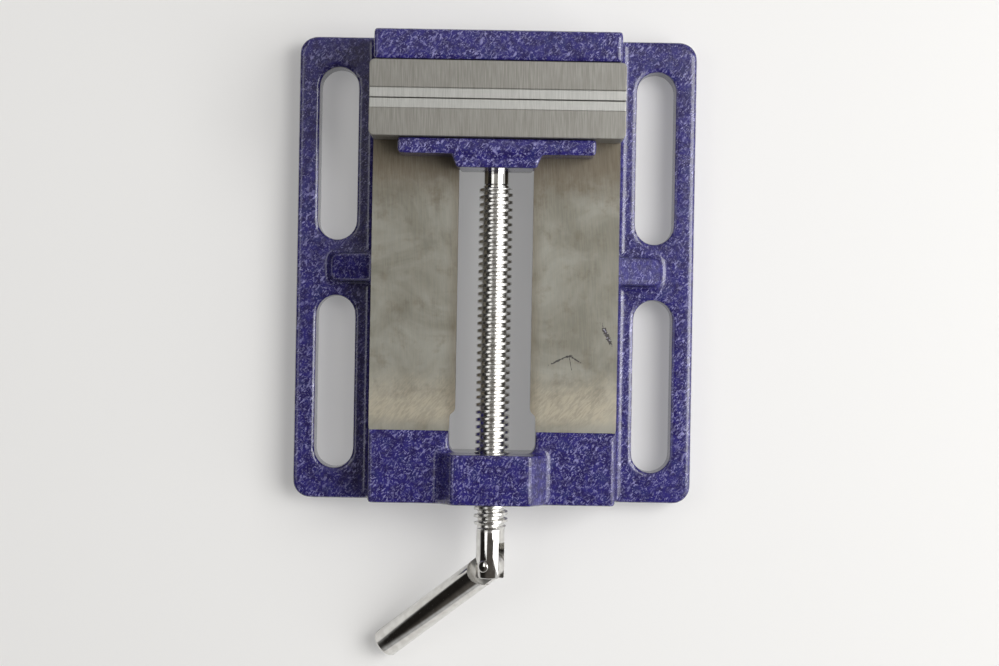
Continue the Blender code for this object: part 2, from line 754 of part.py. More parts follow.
def make_movable_jaw(parent, origin):
    """The casting that slides on the bed, with its boss and its tongue."""
    half = WEB_WIDTH / 2
    plan = rounded(
        (
            (-half, WEB_FRONT, WEB_EDGE_RADIUS),
            (half, WEB_FRONT, WEB_EDGE_RADIUS),
            (half, WEB_BACK, 0),
            (-half, WEB_BACK, 0),
        )
    )
    jaw = prism("movable jaw", plan, "Z", PLATE_BOTTOM, WEB_TOP)
    add(jaw, jaw_boss())
    add(jaw, jaw_tongue())

    bore_front = BOSS_FRONT - CUT_OVERRUN
    bore_back = BOSS_FRONT + NOSE_DEPTH + FACE_GAP
    bore_radius = NOSE_RADIUS + PIN_GAP
    bore = rod("nose bore", "Y", bore_front, bore_back, bore_radius, ROUND_STEPS)
    cut(jaw, moved(bore, z=SCREW_HEIGHT))

    low = RAIL_UNDERSIDE - CUT_OVERRUN
    pin_top = RAIL_UNDERSIDE + NOSE_PIN_LENGTH + PIN_GAP
    pin_radius = NOSE_PIN_DIAMETER / 2 + PIN_GAP
    bolt_top = KEEPER_BOLT_TIP + PIN_GAP
    hole_front = MOVABLE_PLATE_BACK - MOVABLE_SCREW_GRIP - SCREW_HOLE_END_GAP
    hole_back = WEB_BACK + CUT_OVERRUN
    for side_name, side in SIDES:
        pin = rod(f"{side_name} pin hole", "Z", low, pin_top, pin_radius)
        cut(jaw, moved(pin, x=side * NOSE_PIN_X, y=NOSE_PIN_Y))
        bolt = rod(f"{side_name} bolt hole", "Z", low, bolt_top, BOLT_HOLE_RADIUS)
        cut(jaw, moved(bolt, x=side * KEEPER_BOLT_SPACING / 2, y=KEEPER_BOLT_Y))
        x = side * PLATE_SCREW_SPACING / 2
        cut(jaw, screw_hole(f"{side_name} screw hole", x, hole_front, hole_back))
    return finish(jaw, "movable_jaw_casting", paint, parent, origin)


def make_keeper(parent, origin):
    """The plate under the rails that holds the movable jaw down."""
    half = KEEPER_WIDTH / 2
    front = TONGUE_BACK - KEEPER_LENGTH
    plan = rectangle(-half, half, front, TONGUE_BACK, KEEPER_CORNER_RADIUS)
    keeper = prism("keeper", plan, "Z", KEEPER_BOTTOM, KEEPER_TOP)
    low = KEEPER_BOTTOM - CUT_OVERRUN
    high = KEEPER_TOP + CUT_OVERRUN
    for side_name, side in SIDES:
        hole = rod(f"keeper {side_name} hole", "Z", low, high, BOLT_HOLE_RADIUS)
        cut(keeper, moved(hole, x=side * KEEPER_BOLT_SPACING / 2, y=KEEPER_BOLT_Y))
    return finish(keeper, "keeper_plate", bright_steel, parent, origin)


def flat_washer():
    low = FLAT_WASHER_TOP - FLAT_WASHER_THICKNESS
    radius = FLAT_WASHER_DIAMETER / 2
    return ring("flat washer", "Z", low, FLAT_WASHER_TOP, radius, BOLT_HOLE_RADIUS)


def spring_washer():
    low = SPRING_WASHER_TOP - SPRING_WASHER_THICKNESS
    high = SPRING_WASHER_TOP
    radius = SPRING_WASHER_DIAMETER / 2
    washer = ring("spring washer", "Z", low, high, radius, BOLT_HOLE_RADIUS)
    half = SPRING_WASHER_SPLIT / 2
    split = rectangle(0, radius + CUT_OVERRUN, -half, half)
    cut(washer, prism("split", split, "Z", low - CUT_OVERRUN, high + CUT_OVERRUN))
    return washer


def hexagon_bolt():
    low = BOLT_SEAT - KEEPER_BOLT_HEAD_HEIGHT
    bolt = prism("bolt", hexagon(KEEPER_BOLT_FLATS), "Z", low, BOLT_SEAT)
    radius = KEEPER_BOLT_DIAMETER / 2
    shank_low = BOLT_SEAT - KEEPER_BOLT_HEAD_HEIGHT / 2
    add(bolt, rod("bolt shank", "Z", shank_low, KEEPER_BOLT_TIP, radius))
    return bolt


def make_keeper_fasteners(parent, origin):
    """A bolt, a spring washer and a flat washer on each side of the tongue."""
    kinds = (
        ("keeper_flat_washer", flat_washer, bright_steel),
        ("keeper_spring_washer", spring_washer, dark_steel),
        ("keeper_bolt", hexagon_bolt, dark_steel),
    )
    for side_name, side in SIDES:
        x = side * KEEPER_BOLT_SPACING / 2
        for name, make, metal in kinds:
            piece = moved(make(), x=x, y=KEEPER_BOLT_Y)
            finish(piece, f"{name}_{side_name}", metal, parent, origin)


def make_nose_pins(parent, origin):
    """Split spring pins that stand beside the screw's nose, in its groove."""
    low = RAIL_UNDERSIDE
    high = RAIL_UNDERSIDE + NOSE_PIN_LENGTH
    radius = NOSE_PIN_DIAMETER / 2
    half = NOSE_PIN_SPLIT / 2
    for side_name, side in SIDES:
        pin = ring("nose pin", "Z", low, high, radius, NOSE_PIN_BORE / 2)
        outside = side * (radius + CUT_OVERRUN)
        split = rectangle(*sorted((0, outside)), -half, half)
        cut(pin, prism("split", split, "Z", low - CUT_OVERRUN, high + CUT_OVERRUN))
        moved(pin, x=side * NOSE_PIN_X, y=NOSE_PIN_Y)
        finish(pin, f"nose_pin_{side_name}", dark_steel, parent, origin)


def make_lead_screw(parent, origin, pivot):
    """The screw with its nose, thread and forked end."""
    envelope_radius = THREAD_CREST_RADIUS + THREAD_GAP
    chamfer = envelope_radius - THREAD_END_RADIUS
    front = THREAD_FRONT_END
    back = THREAD_BACK_END
    screw = threaded_rod("lead screw", front, back, 0)
    envelope = turned(
        "thread ends",
        (
            (front - CUT_OVERRUN, 0),
            (front - CUT_OVERRUN, THREAD_END_RADIUS),
            (front, THREAD_END_RADIUS),
            (front + chamfer, envelope_radius),
            (back - chamfer, envelope_radius),
            (back, THREAD_END_RADIUS),
            (back + CUT_OVERRUN, THREAD_END_RADIUS),
            (back + CUT_OVERRUN, 0),
        ),
        "Y",
    )
    envelope.data.transform(Matrix.Rotation(math.pi / ROUND_STEPS, 4, "Y"))
    keep(screw, moved(envelope, z=SCREW_HEIGHT))

    nose_end = BOSS_FRONT + NOSE_DEPTH
    groove_front = NOSE_PIN_Y - NOSE_PIN_DIAMETER / 2 - PIN_GAP
    groove_back = NOSE_PIN_Y + NOSE_PIN_DIAMETER / 2 + PIN_GAP
    collar_front = back + COLLAR_SETBACK
    collar_back = collar_front + COLLAR_LENGTH
    core_back = back - SCREW_CORE_OVERLAP
    core_front = front + SCREW_CORE_OVERLAP
    core = turned(
        "screw core",
        (
            (nose_end, 0),
            (nose_end, NOSE_RADIUS - NOSE_CHAMFER),
            (nose_end - NOSE_CHAMFER, NOSE_RADIUS),
            (groove_back, NOSE_RADIUS),
            (groove_back, GROOVE_RADIUS),
            (groove_front, GROOVE_RADIUS),
            (groove_front, NOSE_RADIUS),
            (collar_back, NOSE_RADIUS),
            (collar_back, COLLAR_RADIUS),
            (collar_front, COLLAR_RADIUS),
            (collar_front, NOSE_RADIUS),
            (core_back, NOSE_RADIUS),
            (core_back, SCREW_CORE_RADIUS),
            (core_front, SCREW_CORE_RADIUS),
            (core_front, FORK_RADIUS),
            (FORK_END + FORK_END_CHAMFER, FORK_RADIUS),
            (FORK_END, FORK_RADIUS - FORK_END_CHAMFER),
            (FORK_END, 0),
        ),
        "Y",
    )
    add(screw, moved(core, z=SCREW_HEIGHT))

    half_slot = FORK_SLOT_WIDTH / 2
    reach = FORK_RADIUS + CUT_OVERRUN
    slot_low = -PIVOT_TO_FORK_END - CUT_OVERRUN
    slot_high = FORK_SLOT_LENGTH - PIVOT_TO_FORK_END
    slot_plan = rectangle(-reach, reach, slot_low, slot_high)
    slot = prism("fork slot", slot_plan, "Z", -half_slot, half_slot)
    hole = rod("rivet hole", "Z", -reach, reach, RIVET_RADIUS + PIN_GAP)
    tilt = Matrix.Translation(pivot) @ Matrix.Rotation(-RIVET_TILT, 4, "Y")
    for shape in (slot, hole):
        shape.data.transform(tilt)
        cut(screw, shape)
    return finish(screw, "lead_screw", chrome, parent, origin)


def make_lever(parent):
    """The lever, modelled along -Y from its pivot, which is the parent's origin."""
    far = -LEVER_LENGTH
    root = -LEVER_SHOULDER
    bend = LEVER_END_RADIUS * LEVER_END_SHARE
    lever = turned(
        "lever",
        (
            (root, 0),
            (root, LEVER_RADIUS),
            (far + LEVER_END_RADIUS, LEVER_RADIUS),
            (far + bend, LEVER_RADIUS - bend),
            (far, LEVER_RADIUS - LEVER_END_RADIUS),
            (far, 0),
        ),
        "Y",
    )
    plan = rounded(
        (
            (-LEVER_TONGUE_RADIUS, root - LEVER_END_RADIUS, 0),
            (LEVER_TONGUE_RADIUS, root - LEVER_END_RADIUS, 0),
            (LEVER_TONGUE_RADIUS, LEVER_TONGUE_RADIUS, LEVER_TONGUE_RADIUS),
            (-LEVER_TONGUE_RADIUS, LEVER_TONGUE_RADIUS, LEVER_TONGUE_RADIUS),
        )
    )
    half_tongue = FORK_SLOT_WIDTH / 2 - FACE_GAP
    add(lever, prism("lever tongue", plan, "Z", -half_tongue, half_tongue))
    reach = half_tongue + CUT_OVERRUN
    cut(lever, rod("lever hole", "Z", -reach, reach, RIVET_RADIUS + PIN_GAP))
    return finish(lever, "handle_lever", chrome, parent)


def make_rivet(parent):
    """The rivet across the fork, with a low dome at each end."""
    seat = FORK_RADIUS + PIN_GAP
    top = seat + RIVET_HEAD_HEIGHT
    rim = seat + RIVET_HEAD_HEIGHT * RIVET_RIM_SHARE
    dome = RIVET_HEAD_RADIUS * RIVET_DOME_SHARE
    half = (
        (top, 0),
        (top, dome),
        (rim, RIVET_HEAD_RADIUS),
        (seat, RIVET_HEAD_RADIUS),
        (seat, RIVET_RADIUS),
    )
    profile = half + tuple((-place, radius) for place, radius in reversed(half))
    rivet = turned("rivet", profile, "Z", SMALL_ROUND_STEPS)
    return finish(rivet, "lever_rivet", chrome, parent)


clear_scene()
vise = new_collection("drill_press_vise")
cutters = new_collection("cutters")

paint = new_material("indigo hammertone paint", (0.035, 0.025, 0.16), 0.35, 0.0)
ground_steel = new_material("ground steel", (0.42, 0.40, 0.37), 0.38, 1.0)
bright_steel = new_material("bright steel", (0.46, 0.46, 0.46), 0.35, 1.0)
dark_steel = new_material("black oxide steel", (0.05, 0.05, 0.055), 0.45, 1.0)
chrome = new_material("chrome", (0.62, 0.62, 0.63), 0.12, 1.0)

footprint = new_joint("vise_frame", None, (0, FOOTPRINT_SHIFT, 0))
slide = new_joint("jaw_slide", footprint)
spin = new_joint("screw_turn", slide)
pivot_point = Vector((0, PIVOT_Y, SCREW_HEIGHT))
fold = new_joint("lever_fold", spin, pivot_point, (0, -RIVET_TILT, 0))
swing = new_joint("lever_swing", fold, rotation=(0, 0, -LEVER_SWING))

fixed_point = (0, FIXED_PLATE_FRONT, BED_HEIGHT)
jaw_point = (0, MOVABLE_PLATE_FRONT, SCREW_HEIGHT)
screw_point = (0, BOSS_FRONT, SCREW_HEIGHT)

make_base(footprint)
make_plate("fixed_jaw_plate", footprint, fixed_point, FIXED_PLATE_FRONT, -1, False)
make_plate_screws(
    "fixed_jaw_screw", footprint, fixed_point, FIXED_PLATE_FRONT, -1, FIXED_SCREW_GRIP
)
make_movable_jaw(slide, jaw_point)
make_plate("movable_jaw_plate", slide, jaw_point, MOVABLE_PLATE_FRONT, 1, True)
make_plate_screws(
    "movable_jaw_screw", slide, jaw_point, MOVABLE_PLATE_FRONT, 1, MOVABLE_SCREW_GRIP
)
make_keeper(slide, jaw_point)
make_keeper_fasteners(slide, jaw_point)
make_nose_pins(slide, jaw_point)
make_lead_screw(spin, screw_point, pivot_point)
make_lever(swing)
make_rivet(fold)
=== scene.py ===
"""The looks of a drill press vise, seen from straight above on a pale floor.

Lengths are metres, +Z is up and the jaws open along -Y, towards the lever.
"""

import math

import bmesh
import bpy
import numpy as np
from mathutils import Matrix, Vector, noise


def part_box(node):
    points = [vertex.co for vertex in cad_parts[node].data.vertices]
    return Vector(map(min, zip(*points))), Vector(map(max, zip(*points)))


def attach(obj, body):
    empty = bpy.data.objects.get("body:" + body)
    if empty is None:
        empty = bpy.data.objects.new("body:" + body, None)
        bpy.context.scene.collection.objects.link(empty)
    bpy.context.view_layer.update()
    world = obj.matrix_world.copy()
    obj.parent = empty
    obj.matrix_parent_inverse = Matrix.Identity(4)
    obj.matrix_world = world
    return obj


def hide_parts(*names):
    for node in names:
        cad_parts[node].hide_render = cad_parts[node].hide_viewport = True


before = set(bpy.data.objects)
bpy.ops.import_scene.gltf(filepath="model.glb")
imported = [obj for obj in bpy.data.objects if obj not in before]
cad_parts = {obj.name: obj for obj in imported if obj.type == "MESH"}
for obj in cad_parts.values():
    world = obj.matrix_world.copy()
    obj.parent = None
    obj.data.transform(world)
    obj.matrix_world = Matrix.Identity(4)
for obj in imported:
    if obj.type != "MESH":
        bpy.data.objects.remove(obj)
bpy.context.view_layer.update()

# Places that the frame gives
BASE_LOW, BASE_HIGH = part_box("base_casting")
SCREW_LOW, SCREW_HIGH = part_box("lead_screw")
JAW_LOW, JAW_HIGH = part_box("movable_jaw_casting")
BASE_MIDDLE_Y = (BASE_LOW.y + BASE_HIGH.y) / 2

# Ground bed on the casting
BED_HEIGHT = 0.035
BED_HALF_WIDTH = 0.05
BED_FRONT = BASE_LOW.y + 0.02985
FRONT_BLOCK_TOP = BED_HEIGHT - 0.0003
FIXED_JAW_FACE = BASE_HIGH.y - 0.01415
GRINDING_STOCK = 0.003
STEP_CLEARING = 0.0025
GRIND_OVERRUN = 0.0001
LEVEL_TOLERANCE = 0.00001

# How castings are rounded and roughened
BASE_VOXEL = 0.0009
JAW_VOXEL = 0.0006
BASE_SMOOTHING = 5
JAW_SMOOTHING = 6
LUMP_SIZE = 0.006
LUMP_DEPTH = 0.0001
PIT_SIZE = 0.0018
PIT_DEPTH = 0.00004
BORE_RADIUS = 0.0072
RAIL_GAP_HALF = 0.0155
RAIL_UNDERSIDE = 0.0205

# Holes that the rounding narrows, so they are drilled again after it
HOLE_GAP = 0.0003
PLATE_SCREW_RADIUS = 0.003
KEEPER_BOLT_RADIUS = 0.003
NOSE_PIN_RADIUS = 0.002
TONGUE_HALF_WIDTH = 0.01495
BED_CLEARANCE = 0.0002

# Flecks in the paint
FLECK_WIDTH = 0.00068
FLECK_STRETCH = 3
FLECK_RISE = (0.61, 0.66)
FLECK_LEANS = ((0, 0, -38), (75, 0, -60))

# Marks on the bed: stain and painted shade by the jaw, wear at the front, a film of oil and
# scratches
IRON_SHADES = ((124, 122, 111), (152, 151, 142), (102, 92, 76), (184, 175, 156), (52, 48, 52))
STAIN_DRIFT = 0.02
JAW_STAIN_AND_SHADE = (0.066, 0.084)
FRONT_WEAR = (0.004, -0.014)
FRONT_WEAR_END = (-0.033, -0.026)
RAIL_RIM = (0.0152, 0.0205)
FILM_PLACE = (0.0505, 0.027, BED_HEIGHT)
FILM_RADII = (0.0117, 0.0225, 1)
SCRATCHES = (
    ((0.0305, -0.0016), (0.0231, -0.0053), 0.0007),
    ((0.0303, -0.0016), (0.036, -0.0048), 0.0006),
    ((0.0292, -0.0019), (0.0322, -0.0022), 0.0011),
    ((0.0306, -0.002), (0.0318, -0.0081), 0.0003),
    ((0.0436, 0.0112), (0.0478, 0.0024), 0.0017),
)
DEEP_SCRATCH = 0.0015

# Jaw plates: the ledge that holds thin work
CUT_STEP_DEPTH = 0.005
STEP_DEPTH = 0.001
STEP_REACH = 0.006

# Lead screw
SCREW_HEIGHT = 0.03
THREAD_PITCH = 0.003
CREST_RADIUS = 0.0069
ROOT_RADIUS = 0.0053
CREST_SHARE = 0.36
FLANK_SHARE = 0.17
THREAD_BACK = BASE_MIDDLE_Y + 0.0328
THREAD_FRONT = BASE_MIDDLE_Y - 0.1066
THREAD_FADE = 0.0035
THREAD_END = 0.0004
NOSE_RADIUS = 0.0051
COLLAR_RADIUS = 0.0053
COLLAR_LENGTH = 0.0007
GROOVE_WIDTH = 0.0007
GROOVE_RADIUS = 0.0046
PIN_GROOVE_RADIUS = 0.0034
SHANK_RADIUS = 0.00575
EDGE_CUT = 0.0005
FORK_END = SCREW_LOW.y
PIVOT = Vector((0, FORK_END + 0.005, SCREW_HEIGHT))
FORK_SLOT_WIDTH = 0.0049
FORK_SLOT_LENGTH = 0.0146
RIVET_TILT = math.radians(29)
RIVET_RADIUS = 0.002
RIVET_GAP = 0.0001
RIVET_HEAD_RADIUS = 0.0024
RIVET_HEAD_HEIGHT = 0.0009

# Lever
LEVER_RADIUS = 0.006
LEVER_LENGTH = 0.0618
LEVER_SHOULDER = 0.0085
SCOOP_RADIUS = 0.008
LEVER_TONGUE_RADIUS = 0.0057
LEVER_SWING = math.radians(54)

# Camera, as the photograph was taken
IMAGE_WIDTH = 999
FOCAL_PIXELS = 2016
SENSOR_WIDTH = 36
CAMERA_HEIGHT = 0.85
CAMERA_X = 0.0023
CAMERA_Y = 0.007
CAMERA_TURN = math.radians(0.99)

# Studio: a pale floor in a room whose walls are lighter than its ceiling
FLOOR_SIZE = 8
FLOOR_COLOUR = (212, 211, 209)
FLOOR_GLOW = 0.23
LEFT_WALL_COLOUR = (165, 165, 165)
RIGHT_WALL_COLOUR = (210, 210, 210)
LEFT_CEILING_COLOUR = (32, 30, 28)
CEILING_COLOUR = (84, 80, 76)
BACK_CEILING_COLOUR = (168, 166, 162)
ROOM_SIDES = (-0.6, 0.7)
CEILING_SIDES = (-0.75, -0.25)
BACK_CEILING_RISE = (0.0, 0.1)
BACK_CEILING_SIDES = (0.35, 0.55)
ROOM_LEAN = 0.3
ROOM_RISE = (0.24, 0.46)

# Lamps: place, target, size and power
KEY_LAMP = ((0.72, 0.2, 1.0), (0, 0.05, 0), (0.6, 0.9), 9.9)
WINDOW_LAMP = ((1.1, -0.3, 0.92), (0, 0, 0), (0.75, 1.3), 7)
FILL_LAMP = ((-0.65, 0.165, 1.0), (0, 0.05, 0), (0.7, 0.47), 1.5)


def linear(red, green, blue):
    """A colour given as 0 to 255 on screen, as the shaders want it."""
    def one(value):
        share = value / 255
        return share / 12.92 if share <= 0.04045 else ((share + 0.055) / 1.055) ** 2.4
    return (one(red), one(green), one(blue), 1)


IRON_DARK, IRON_LIGHT, IRON_BROWN, IRON_WORN, SCRATCH_COLOUR = (
    linear(*tone) for tone in IRON_SHADES
)


def add_node(tree, kind, inputs=None, **settings):
    """A shader node; its inputs are values, or sockets that are joined to it."""
    node = tree.nodes.new(kind)
    for name, value in settings.items():
        setattr(node, name, value)
    for name, value in (inputs or {}).items():
        if isinstance(value, bpy.types.NodeSocket):
            tree.links.new(value, node.inputs[name])
        else:
            node.inputs[name].default_value = value
    return node


def new_material(name):
    material = bpy.data.materials.new(name)
    material.use_nodes = True
    return material, material.node_tree, material.node_tree.nodes["Principled BSDF"]


def place_of(tree, stretch=(1, 1, 1)):
    """Places on the piece in metres, stretched along the axes."""
    place = add_node(tree, "ShaderNodeTexCoord").outputs["Object"]
    return add_node(tree, "ShaderNodeMapping", {"Vector": place, "Scale": stretch}).outputs[0]


def turned(tree, place, degrees, stretch):
    """Places drawn out along axes that are turned by some degrees about X, Y and Z."""
    inputs = {
        "Vector": place,
        "Rotation": [math.radians(angle) for angle in degrees],
        "Scale": stretch,
    }
    return add_node(tree, "ShaderNodeMapping", inputs, vector_type="TEXTURE").outputs[0]


def speckle(tree, place, size, detail=2.0, roughness=0.5, distortion=0.0):
    """Noise from 0 to 1 whose lumps are about size wide."""
    inputs = {
        "Vector": place,
        "Scale": 1 / size,
        "Detail": detail,
        "Roughness": roughness,
        "Distortion": distortion,
    }
    return add_node(tree, "ShaderNodeTexNoise", inputs).outputs["Fac"]


def between(tree, value, low, high, to_low=0.0, to_high=1.0):
    """A smooth rise from to_low at low to to_high at high."""
    inputs = {
        "Value": value,
        "From Min": low,
        "From Max": high,
        "To Min": to_low,
        "To Max": to_high,
    }
    step = add_node(tree, "ShaderNodeMapRange", inputs, interpolation_type="SMOOTHSTEP")
    return step.outputs["Result"]


def maths(tree, operation, first, second=0.0):
    node = add_node(tree, "ShaderNodeMath", operation=operation)
    for socket, value in zip(node.inputs, (first, second)):
        if isinstance(value, bpy.types.NodeSocket):
            tree.links.new(value, socket)
        else:
            socket.default_value = value
    return node.outputs[0]


def mixed(tree, share, first, second):
    """A colour between first and second."""
    node = add_node(tree, "ShaderNodeMix", data_type="RGBA")
    for index, value in ((0, share), (6, first), (7, second)):
        if isinstance(value, bpy.types.NodeSocket):
            tree.links.new(value, node.inputs[index])
        else:
            node.inputs[index].default_value = value
    return node.outputs[2]


def bumped(tree, shader, height, distance, strength=1.0):
    inputs = {"Height": height, "Distance": distance, "Strength": strength}
    node = add_node(tree, "ShaderNodeBump", inputs)
    tree.links.new(node.outputs["Normal"], shader.inputs["Normal"])


def hammertone_paint():
    """Indigo paint with short pale flecks, which stand a little proud."""
    material, tree, shader = new_material("indigo_hammertone")
    place = place_of(tree)
    swirl = speckle(tree, place, 0.0016, detail=1.0, distortion=1.0)
    line = maths(tree, "ABSOLUTE", maths(tree, "SUBTRACT", swirl, 0.5))
    breaks = between(tree, speckle(tree, place, 0.0013, detail=1.0), 0.5, 0.56)
    fleck = maths(tree, "MULTIPLY", between(tree, line, 0.008, 0.026, 1.0, 0.0), breaks)
    for lean in FLECK_LEANS:
        drawn = turned(tree, place, lean, (1, FLECK_STRETCH, 1))
        layer = speckle(tree, drawn, FLECK_WIDTH, detail=0.5, distortion=0.5)
        layer = between(tree, layer, *FLECK_RISE)
        fleck = maths(tree, "MAXIMUM", fleck, layer)
    strength = between(tree, speckle(tree, place, 0.0018, detail=1.0), 0.35, 0.65, 0.25, 1.0)
    fleck = maths(tree, "MULTIPLY", fleck, strength)
    patches = between(tree, speckle(tree, place, 0.012, detail=2.0), 0.35, 0.65, 0.6, 1.0)
    fleck = maths(tree, "MULTIPLY", fleck, patches)
    normal = add_node(tree, "ShaderNodeTexCoord").outputs["Normal"]
    upward = add_node(tree, "ShaderNodeSeparateXYZ", {"Vector": normal}).outputs["Z"]
    fleck = maths(tree, "MULTIPLY", fleck, between(tree, upward, 0.3, 0.95, 0.25, 1.0))
    ground = mixed(
        tree,
        between(tree, speckle(tree, place, 0.003), 0.35, 0.65),
        linear(30, 21, 86),
        linear(40, 33, 112),
    )
    slate = between(tree, speckle(tree, place, 0.006, detail=2.0), 0.54, 0.7, 0.0, 0.5)
    ground = mixed(tree, slate, ground, linear(38, 44, 94))
    colour = mixed(tree, fleck, ground, linear(142, 139, 192))
    tree.links.new(colour, shader.inputs["Base Color"])
    rough = between(tree, fleck, 0.0, 1.0, 0.24, 0.18)
    tree.links.new(rough, shader.inputs["Roughness"])
    shader.inputs["Coat Weight"].default_value = 0.6
    shader.inputs["Coat Roughness"].default_value = 0.07
    ripple = maths(tree, "MULTIPLY", speckle(tree, place, 0.002, detail=1.0), 0.8)
    height = maths(tree, "ADD", fleck, ripple)
    bumped(tree, shader, height, 0.00013, 1.0)
    return material


def ground_iron():
    """The bed's bare iron: stained, with painted shade by the jaw, worn at its front and finely
    scratched, with painted highlights in deep scratches.
    """
    material, tree, shader = new_material("ground_iron")
    place = place_of(tree)
    axes = add_node(tree, "ShaderNodeSeparateXYZ", {"Vector": place}).outputs
    across, along = axes["X"], axes["Y"]
    grain = speckle(tree, turned(tree, place, (0, 0, 3), (1, 16, 1)), 0.0004)
    cloud = speckle(tree, place, 0.026, detail=4.0, roughness=0.6, distortion=0.8)
    blotch = speckle(tree, place, 0.007, detail=4.0, roughness=0.65)
    scratch = speckle(tree, turned(tree, place, (0, 0, -42), (1, 5, 1)), 0.0006, distortion=0.5)
    drift = maths(tree, "MULTIPLY", blotch, STAIN_DRIFT)
    colour = mixed(tree, between(tree, cloud, 0.32, 0.68), IRON_DARK, IRON_LIGHT)
    colour = mixed(tree, between(tree, blotch, 0.5, 0.72, 0.0, 0.4), colour, IRON_BROWN)
    # Browner and darker towards the jaw: partly a stain, partly painted shade from the jaw
    stain_and_shade_by_jaw = between(tree, maths(tree, "ADD", along, drift), *JAW_STAIN_AND_SHADE, 0.0, 0.85)
    colour = mixed(tree, stain_and_shade_by_jaw, colour, IRON_BROWN)
    worn = between(tree, maths(tree, "ADD", along, drift), *FRONT_WEAR)
    worn = maths(tree, "MULTIPLY", worn, between(tree, along, *FRONT_WEAR_END))
    worn = maths(tree, "MULTIPLY", worn, between(tree, scratch, 0.35, 0.65, 0.45, 0.85))
    colour = mixed(tree, worn, colour, IRON_WORN)
    rim = between(tree, maths(tree, "ABSOLUTE", across), *RAIL_RIM, 0.5, 0.0)
    colour = mixed(tree, rim, colour, IRON_BROWN)
    film = spot(tree, place, FILM_PLACE, FILM_RADII, 0.92, 1.0)
    colour = mixed(tree, maths(tree, "MULTIPLY", film, 0.3), colour, IRON_DARK)
    fine = between(tree, grain, 0.3, 0.7, 0.0, 0.12)
    colour = mixed(tree, fine, colour, IRON_WORN)
    ragged = speckle(tree, place, 0.0009)
    # Deep scratches take a pale lilac colour, a painted highlight
    painted_glint = mixed(tree, between(tree, ragged, 0.54, 0.6), SCRATCH_COLOUR, linear(170, 165, 196))
    for start, end, width in SCRATCHES:
        mark = stroke(tree, place, start, end, width, ragged)
        colour = mixed(tree, mark, colour, painted_glint if width > DEEP_SCRATCH else SCRATCH_COLOUR)
    tree.links.new(colour, shader.inputs["Base Color"])
    shader.inputs["Metallic"].default_value = 0.5
    tree.links.new(between(tree, cloud, 0.3, 0.7, 0.44, 0.54), shader.inputs["Roughness"])
    height = maths(tree, "ADD", grain, maths(tree, "MULTIPLY", scratch, 0.7))
    bumped(tree, shader, height, 0.00002, 0.3)
    return material


def spot(tree, place, middle, radii, inner, outer):
    """1 inside an ellipse with its axes along X and Y, 0 outside it."""
    inputs = {"Vector": place, "Location": middle, "Scale": radii}
    local = add_node(tree, "ShaderNodeMapping", inputs, vector_type="TEXTURE").outputs[0]
    reach = add_node(tree, "ShaderNodeVectorMath", {0: local}, operation="LENGTH").outputs["Value"]
    return between(tree, reach, inner, outer, 1.0, 0.0)


def stroke(tree, place, start, end, width, ragged):
    """A thin ragged scratch on the bed between two places."""
    middle = [(first + last) / 2 for first, last in zip(start, end)] + [BED_HEIGHT]
    run = Vector(end) - Vector(start)
    inputs = {
        "Vector": place,
        "Location": middle,
        "Rotation": (0, 0, math.atan2(run.y, run.x)),
        "Scale": (run.length / 2, width / 2, 1),
    }
    local = add_node(tree, "ShaderNodeMapping", inputs, vector_type="TEXTURE").outputs[0]
    reach = add_node(tree, "ShaderNodeVectorMath", {0: local}, operation="LENGTH").outputs["Value"]
    edge = maths(tree, "ADD", reach, between(tree, ragged, 0.35, 0.65, -0.35, 0.35))
    return between(tree, edge, 0.7, 1.1, 0.85, 0.0)


def ground_steel(name, dark, light):
    """Jaw plates, with fine grinding marks along the vise."""
    material, tree, shader = new_material(name)
    place = place_of(tree)
    marks = speckle(tree, turned(tree, place, (0, 0, 1), (1, 22, 22)), 0.0004, detail=3.0)
    cloud = speckle(tree, place, 0.014, detail=3.0)
    colour = mixed(tree, between(tree, marks, 0.3, 0.7), dark, light)
    colour = mixed(tree, between(tree, cloud, 0.4, 0.7, 0.0, 0.35), colour, dark)
    tree.links.new(colour, shader.inputs["Base Color"])
    shader.inputs["Metallic"].default_value = 0.65
    tree.links.new(between(tree, cloud, 0.3, 0.7, 0.42, 0.5), shader.inputs["Roughness"])
    bumped(tree, shader, marks, 0.00002, 0.2)
    return material


def plated_steel(name, roughness, depth):
    """Bright plating over turned steel, its ripples so many metres deep."""
    material, tree, shader = new_material(name)
    place = place_of(tree)
    cloud = speckle(tree, place, 0.003, detail=3.0)
    share = between(tree, cloud, 0.35, 0.65)
    colour = mixed(tree, share, linear(214, 212, 208), linear(228, 227, 224))
    tree.links.new(colour, shader.inputs["Base Color"])
    shader.inputs["Metallic"].default_value = 1.0
    low, high = roughness - 0.03, roughness + 0.03
    tree.links.new(between(tree, cloud, 0.3, 0.7, low, high), shader.inputs["Roughness"])
    bumped(tree, shader, cloud, depth, 0.25)
    return material


def plain_steel(name, colour, roughness):
    """Small steel pieces under the rails and in the plates."""
    material, tree, shader = new_material(name)
    cloud = speckle(tree, place_of(tree), 0.0015, detail=3.0)
    lighter = tuple(min(1, value * 1.35) for value in colour[:3]) + (1,)
    tone = mixed(tree, between(tree, cloud, 0.35, 0.65), colour, lighter)
    tree.links.new(tone, shader.inputs["Base Color"])
    shader.inputs["Metallic"].default_value = 1.0
    low, high = roughness - 0.06, roughness + 0.06
    tree.links.new(between(tree, cloud, 0.3, 0.7, low, high), shader.inputs["Roughness"])
    bumped(tree, shader, cloud, 0.00003, 0.4)
    return material


def show(mesh, name):
    piece = bpy.data.objects.new(name, mesh)
    bpy.context.scene.collection.objects.link(piece)
    return piece


